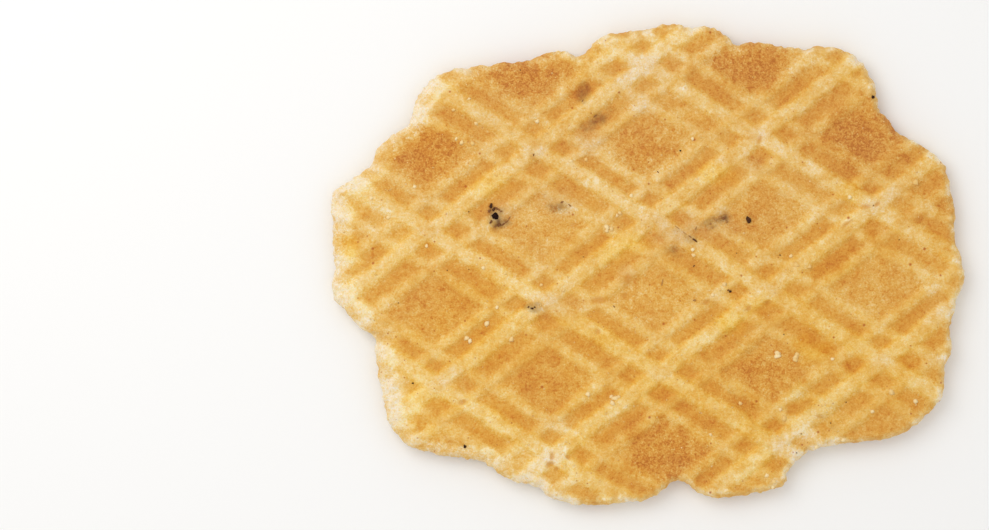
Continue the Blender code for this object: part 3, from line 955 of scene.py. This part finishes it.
# %% Surface of the crust
BUMP_DEPTH = 0.2 * MM
LIGHT_SPREAD = 0.4 * MM
bump = add_node(tree, "Bump", {"Height": mottle, "Strength": 0.6, "Distance": BUMP_DEPTH})
crust_shader = add_node(
    tree,
    "BsdfPrincipled",
    {
        "Base Color": colour,
        "Roughness": 0.65,
        "IOR": 1.45,
        "Specular IOR Level": 0.3,
        "Subsurface Weight": 0.12,
        "Subsurface Radius": (1.0, 0.6, 0.25),
        "Subsurface Scale": LIGHT_SPREAD,
        "Normal": bump,
    },
)
finish_material(material, crust_shader, crust_mesh)
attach(crust, "root")
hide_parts("cracker")

# %% [markdown]
# ## Ground pepper
#
# Black peppercorns crack into angular pieces of a fifth of a millimetre to one millimetre. Those on
# the face are nearly black. Where a skin of dough covers them they look brown or grey, and a husk seen on
# edge is a thin dark streak. So each piece has a tone besides its size and direction.
#
# A texture could paint such dots, but a cracked piece stands out of the crust and has corners. So each
# is the convex hull of a few scattered points, partly sunk into the crust where a ray from above
# meets it.

# %% Where the pepper lies
# Middle, length and width in millimetres, direction in degrees, tone (0 black, 1 under the skin)
PEPPER_MM = [
    (-16.98, 5.50, 0.72, 0.62, 80, 0.0), (-16.85, 5.25, 0.50, 0.50, 10, 0.0),
    (-17.45, 6.55, 0.60, 0.30, 72, 0.2), (-17.62, 6.02, 0.40, 0.30, 60, 0.6),
    (-17.45, 4.78, 0.50, 0.30, 65, 0.45), (-17.00, 4.26, 0.34, 0.18, 10, 0.7),
    (-16.55, 4.45, 0.50, 0.30, 20, 0.45), (-16.10, 4.50, 0.60, 0.18, 30, 0.55),
    (-15.70, 4.80, 0.60, 0.14, 40, 0.65), (-15.40, 5.20, 0.44, 0.12, 55, 0.7),
    (-17.05, 6.38, 0.30, 0.16, 40, 0.6), (-17.15, 6.15, 0.50, 0.28, 60, 0.3),
    (-16.80, 6.25, 0.40, 0.26, -40, 0.5), (-16.55, 6.15, 0.36, 0.20, -30, 0.7),
    (-16.30, 5.95, 0.26, 0.16, 10, 0.6), (11.10, 5.00, 0.76, 0.64, -95, 0.22),
    (24.90, 18.60, 0.42, 0.38, 0, 0.1), (-20.35, -20.13, 0.44, 0.34, -40, 0.1),
    (-26.10, -13.10, 0.27, 0.19, 0, 0.1), (5.18, 2.73, 0.86, 0.19, -37, 0.35),
    (3.20, 4.15, 0.80, 0.11, -37, 1.0), (4.00, 3.55, 0.60, 0.10, -37, 1.0),
    (4.60, 3.15, 0.50, 0.12, -37, 0.75), (5.27, 4.05, 0.52, 0.14, 75, 0.9),
    (8.33, 5.17, 0.44, 0.30, 50, 0.6), (7.94, 5.25, 0.36, 0.24, 20, 0.95),
    (8.72, 4.80, 0.28, 0.20, 40, 0.85), (7.50, 5.00, 0.30, 0.18, 30, 1.0),
    (6.90, 4.55, 0.28, 0.20, 60, 0.85), (7.05, 4.15, 0.30, 0.14, -60, 1.0),
    (-12.90, -4.80, 0.42, 0.20, -12, 0.25), (-13.32, -4.66, 0.26, 0.20, 30, 0.4),
    (-12.60, -4.68, 0.20, 0.18, 0, 0.3), (9.10, -2.90, 0.36, 0.24, 20, 0.2),
    (8.85, -2.80, 0.24, 0.20, 0, 0.5), (3.55, 12.67, 0.27, 0.18, -20, 0.0),
    (1.05, 10.30, 0.36, 0.12, -45, 0.5), (-12.70, 12.20, 0.32, 0.11, 80, 0.4),
    (-3.80, -4.60, 0.32, 0.09, -40, 0.5), (5.05, -0.10, 0.26, 0.16, 50, 0.5),
    (1.55, -1.95, 0.70, 0.16, 75, 1.0), (5.10, -3.90, 0.30, 0.24, 0, 0.9),
    (-5.90, 16.50, 0.50, 0.14, 35, 0.7), (-7.30, 18.20, 0.40, 0.14, 60, 0.7),
    (-8.70, 6.60, 0.44, 0.16, -35, 0.7), (-9.60, 6.95, 0.40, 0.20, 20, 0.65),
]
# Small brown specks: middle and size in millimetres
SPECKS_MM = [
    (14.6, 1.1, 0.24), (-27.7, -4.2, 0.20), (-14.2, 21.6, 0.19), (9.8, 1.3, 0.19), (-19.9, -0.5, 0.18),
    (-22.3, -0.6, 0.19), (15.0, -7.7, 0.20), (21.9, -15.2, 0.18), (20.2, -17.5, 0.20), (16.4, -20.8, 0.22),
    (16.9, -18.7, 0.18), (27.8, 2.8, 0.17), (24.9, 6.6, 0.18), (-19.9, 5.9, 0.19), (-7.2, 0.9, 0.17),
]
print(len(PEPPER_MM), "larger pieces and", len(SPECKS_MM), "specks")


# %% Lumps on the crust
TURN_PER_CORNER = 2.4  # radians, the golden angle, which spreads points evenly round an ellipsoid
TURN_VARIES = 0.6
RAY_START = 0.1  # metres above the plane that the cracker rests on


def chunk(shape, layer, middle, half_sizes, direction, corners, uneven, tone, rng):
    """A lump: the convex hull of points on an ellipsoid. The more uneven, the more angular it is."""
    turn = Matrix.Rotation(direction, 3, "Z")
    made = []
    for k in range(corners):
        height = 1 - 2 * (k + 0.5) / corners
        ring = math.sqrt(1 - height * height)
        angle = k * TURN_PER_CORNER + rng.uniform(-TURN_VARIES, TURN_VARIES)
        reach = Vector((ring * math.cos(angle), ring * math.sin(angle), height))
        reach = reach * rng.uniform(1 - uneven, 1 + uneven)
        corner = shape.verts.new(middle + turn @ half_sizes @ reach)
        corner[layer] = tone
        made.append(corner)
    hull = bmesh.ops.convex_hull(shape, input=made)
    spare = {e for e in hull["geom_interior"] + hull["geom_unused"] if isinstance(e, bmesh.types.BMVert)}
    bmesh.ops.delete(shape, geom=list(spare), context="VERTS")


crust_tree = BVHTree.FromPolygons(points.tolist(), faces)


def scatter(name, lumps, flatness, sunk, uneven, seed):
    """A piece made of lumps on the crust. Each is x, y, length, width, direction, corners and tone."""
    rng = np.random.default_rng(seed)
    shape = bmesh.new()
    layer = shape.verts.layers.float.new("tone")
    for x_mm, y_mm, length, width, degrees, corners, tone in lumps:
        hit = crust_tree.ray_cast(Vector((x_mm * MM, y_mm * MM, RAY_START)), Vector((0, 0, -1)))[0]
        if hit is None:
            continue
        half_height = flatness * width / 2
        middle = hit + Vector((0, 0, half_height * (1 - 2 * sunk) * MM))
        half_sizes = Matrix.Diagonal(Vector((length / 2, width / 2, half_height)) * MM)
        chunk(shape, layer, middle, half_sizes, math.radians(degrees), corners, uneven, tone, rng)
    bmesh.ops.recalc_face_normals(shape, faces=shape.faces)
    mesh = bpy.data.meshes.new(name)
    shape.to_mesh(mesh)
    shape.free()
    print(name, len(lumps), "lumps,", len(mesh.polygons), "triangles")
    return add_object(name, mesh)


print("the crust's highest point:", round(float(points[:, 2].max()) / MM, 2), "mm")

# %% Pepper grains
# A hull through a few points is smaller than its ellipsoid, so the ellipsoids are drawn larger
PEPPER_DRAWN = (1.1, 1.15)  # length and width
PEPPER_CORNERS = 12
SPECK_CORNERS = 8
SPECK_WIDTH = 0.8  # as a share of its length
SPECK_TONE = 0.4
SPECK_TURN = 50  # degrees from one speck to the next

lumps = []
for x_mm, y_mm, length, width, degrees, tone in PEPPER_MM:
    length, width = PEPPER_DRAWN[0] * length, PEPPER_DRAWN[1] * width
    lumps.append((x_mm, y_mm, length, width, degrees, PEPPER_CORNERS, tone))
for k, (x_mm, y_mm, size) in enumerate(SPECKS_MM):
    lumps.append((x_mm, y_mm, size, SPECK_WIDTH * size, SPECK_TURN * k, SPECK_CORNERS, SPECK_TONE))
pepper = scatter("pepper_grains", lumps, flatness=0.9, sunk=0.3, uneven=0.25, seed=5)

# %% [markdown]
# Black pepper has a wrinkled, nearly black husk round a grey-brown core. It is matt with a faint sheen
# of oil. Through a skin of dough it looks brown, then greyish tan.

# %% Pepper's material
PEPPER_TONES = [(0.0, "1C0A06"), (0.3, "543420"), (0.6, "8C5C36"), (1.0, "BA8A50")]
HUSK_GRAIN_PITCH = 0.2
TONE_VARIES = 0.3

material, tree = new_material("cracked_black_peppercorn")
place = add_node(tree, "TexCoord").outputs["Object"]
tone = add_node(tree, "Attribute", attribute_name="tone").outputs["Fac"]
texture = add_node(tree, "TexNoise", {"Vector": place, "Scale": 1000 / HUSK_GRAIN_PITCH, "Detail": 2.0})
uneven = add_node(tree, "Math", {0: texture, 1: TONE_VARIES, 2: -TONE_VARIES / 2}, operation="MULTIPLY_ADD")
shade = add_node(tree, "Math", {0: tone, 1: uneven}, operation="ADD")
ramp = add_node(tree, "ValToRGB", {"Fac": shade})
while len(ramp.color_ramp.elements) < len(PEPPER_TONES):
    ramp.color_ramp.elements.new(0.5)
for element, (position, hex_colour) in zip(ramp.color_ramp.elements, PEPPER_TONES):
    element.position = position
    element.color = linear(hex_colour)
husk = add_node(
    tree, "BsdfPrincipled", {"Base Color": ramp, "Roughness": 0.75, "IOR": 1.45, "Specular IOR Level": 0.15}
)
finish_material(material, husk, pepper.data)
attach(pepper, "root")

# %% [markdown]
# ## Crumbs
#
# Crumbs of the pale rim stick to the faces of a cracker. The larger ones are placed one by one. The
# many of a tenth to a third of a millimetre are scattered at random, for no eye could tell another
# arrangement from this one. Most lie on the ridges, near the rim and at the grainy left end.

# %% Larger crumbs
# Middle and size of each larger crumb in millimetres
CRUMBS_MM = [
    (-30.7, 7.4, 0.40), (-28.8, 5.3, 0.36), (-25.9, 8.7, 0.32), (-24.6, 2.1, 0.36), (-21.6, 17.2, 0.34),
    (-20.7, 13.6, 0.42), (-19.5, 13.5, 0.44), (-21.3, 14.0, 0.32), (-19.9, 18.4, 0.34), (-19.1, 15.7, 0.36),
    (-12.3, 15.9, 0.38), (-8.6, 11.5, 0.30), (-6.9, 11.7, 0.32), (-3.2, 5.8, 0.40), (-3.5, 5.5, 0.30),
    (-4.6, 4.2, 0.46), (-4.6, 3.8, 0.38), (-4.1, 4.0, 0.42), (-1.9, 7.7, 0.34), (4.9, 14.0, 0.32),
    (-20.1, -8.1, 0.50), (-19.8, -8.4, 0.44), (-17.9, -6.5, 0.46), (-15.2, -8.2, 0.46), (-16.8, -4.7, 0.32),
    (-18.3, -0.3, 0.38), (-11.9, -2.2, 0.32), (-9.4, -2.8, 0.30), (-6.7, -14.3, 0.42), (-3.7, -14.8, 0.56),
    (-4.1, -14.6, 0.38), (-3.3, -14.6, 0.36), (-4.0, -15.3, 0.44), (5.0, 1.1, 0.40), (4.9, 1.7, 0.32),
    (16.4, 0.0, 0.48), (15.8, 1.0, 0.36), (17.8, -0.2, 0.40), (8.4, -2.1, 0.38), (7.1, -3.3, 0.32),
    (14.3, -9.8, 0.54), (14.3, -10.1, 0.56), (16.3, -10.2, 0.50), (16.5, -9.9, 0.36), (16.3, -10.5, 0.44),
    (20.4, -10.4, 0.36), (10.2, -15.3, 0.36), (6.9, -18.8, 0.36), (15.0, -17.0, 0.46), (14.6, -16.0, 0.32),
    (26.9, -14.1, 0.52), (24.8, -16.2, 0.32), (29.6, -15.1, 0.40), (21.6, -19.4, 0.40), (18.6, -20.1, 0.40),
    (13.9, -24.0, 0.40), (13.8, -24.6, 0.32), (13.1, -23.3, 0.36), (29.6, 9.2, 0.54), (22.3, 7.5, 0.36),
]
LARGE_DRAWN = (1.5, 1.3)  # length and width of the ellipsoid, which makes the crumb longer than wide
LARGE_CORNERS = 14

rng = np.random.default_rng(8)
lumps = []
for x_mm, y_mm, size in CRUMBS_MM:
    width, degrees, tone = size * rng.uniform(0.8, 1.1), rng.uniform(0, 180), rng.uniform(-0.2, 0.8)
    length, width = LARGE_DRAWN[0] * size, LARGE_DRAWN[1] * width
    lumps.append((x_mm, y_mm, length, width, degrees, LARGE_CORNERS, tone))
print(len(lumps), "larger crumbs")

# %% Small crumbs
SMALL_CRUMBS = 760
SMALL_SIZES_MM = (0.10, 0.30)
SMALL_WIDTH = 0.8  # as a share of a crumb's length
SMALL_CORNERS = 8
TRIED = 4 * SMALL_CRUMBS  # places drawn at random, of which the first that suit are taken
OUTERMOST = 0.97  # as a share of the cracker's area
CRUMBLY_RIM = 2 * MM
CRUMBLY_LEFT_END = (3 * MM, 7 * MM)  # how far in from the rim it fades out
LIKING = 0.20  # how likely a crumb is to lie anywhere, as a share
RIDGE_LIKING = 0.50  # in addition, on a broad ridge or at the rim
LEFT_LIKING = 0.50  # in addition, at the left end

angles = rng.uniform(0, math.tau, TRIED)
outs = reach_at(angles) * np.sqrt(rng.uniform(0, OUTERMOST, TRIED))
at_x, at_y = outs * np.cos(angles), outs * np.sin(angles)
at_rim = 1 - smooth_step(0, CRUMBLY_RIM, inset(at_x, at_y))
at_left_end = leftness(at_x, at_y) * (1 - smooth_step(*CRUMBLY_LEFT_END, inset(at_x, at_y)))
liking = LIKING + RIDGE_LIKING * np.maximum(relief(at_x, at_y) / BROAD_RISE, at_rim)
liking = liking + LEFT_LIKING * at_left_end
chosen = np.flatnonzero(rng.uniform(0, 1, TRIED) < liking)[:SMALL_CRUMBS]
for x_mm, y_mm in zip(at_x[chosen] / MM, at_y[chosen] / MM):
    size = SMALL_SIZES_MM[0] + (SMALL_SIZES_MM[1] - SMALL_SIZES_MM[0]) * rng.uniform(0, 1) ** 2
    degrees, tone = rng.uniform(0, 180), rng.uniform(0.2, 1.3)
    lumps.append((x_mm, y_mm, size, SMALL_WIDTH * size, degrees, SMALL_CORNERS, tone))
crumbs = scatter("pale_crumbs", lumps, flatness=0.55, sunk=0.35, uneven=0.22, seed=6)
crumbs.data.shade_smooth()  # the corners of dry dough are soft

# %% [markdown]
# The crumbs are the same dough, hardly browned, so they are cream. Some are straw-coloured.

# %% Crumbs' material
CRUMB_CREAM, CRUMB_STRAW = "F9E4B2", "EBC276"
CRUMB_PITCH = 0.25
CRUMB_VARIES = 0.6

material, tree = new_material("pale_dry_crumb")
place = add_node(tree, "TexCoord").outputs["Object"]
tone = add_node(tree, "Attribute", attribute_name="tone").outputs["Fac"]
texture = add_node(tree, "TexNoise", {"Vector": place, "Scale": 1000 / CRUMB_PITCH, "Detail": 2.0})
shade = add_node(tree, "Math", {0: texture, 1: CRUMB_VARIES, 2: tone}, operation="MULTIPLY_ADD")
inputs = {"Factor": shade, "A": linear(CRUMB_CREAM), "B": linear(CRUMB_STRAW)}
cream = add_node(tree, "Mix", inputs, data_type="RGBA").outputs["Result"]
dough = add_node(
    tree, "BsdfPrincipled", {"Base Color": cream, "Roughness": 0.7, "IOR": 1.45, "Specular IOR Level": 0.3}
)
finish_material(material, dough, crumbs.data)
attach(crumbs, "root")
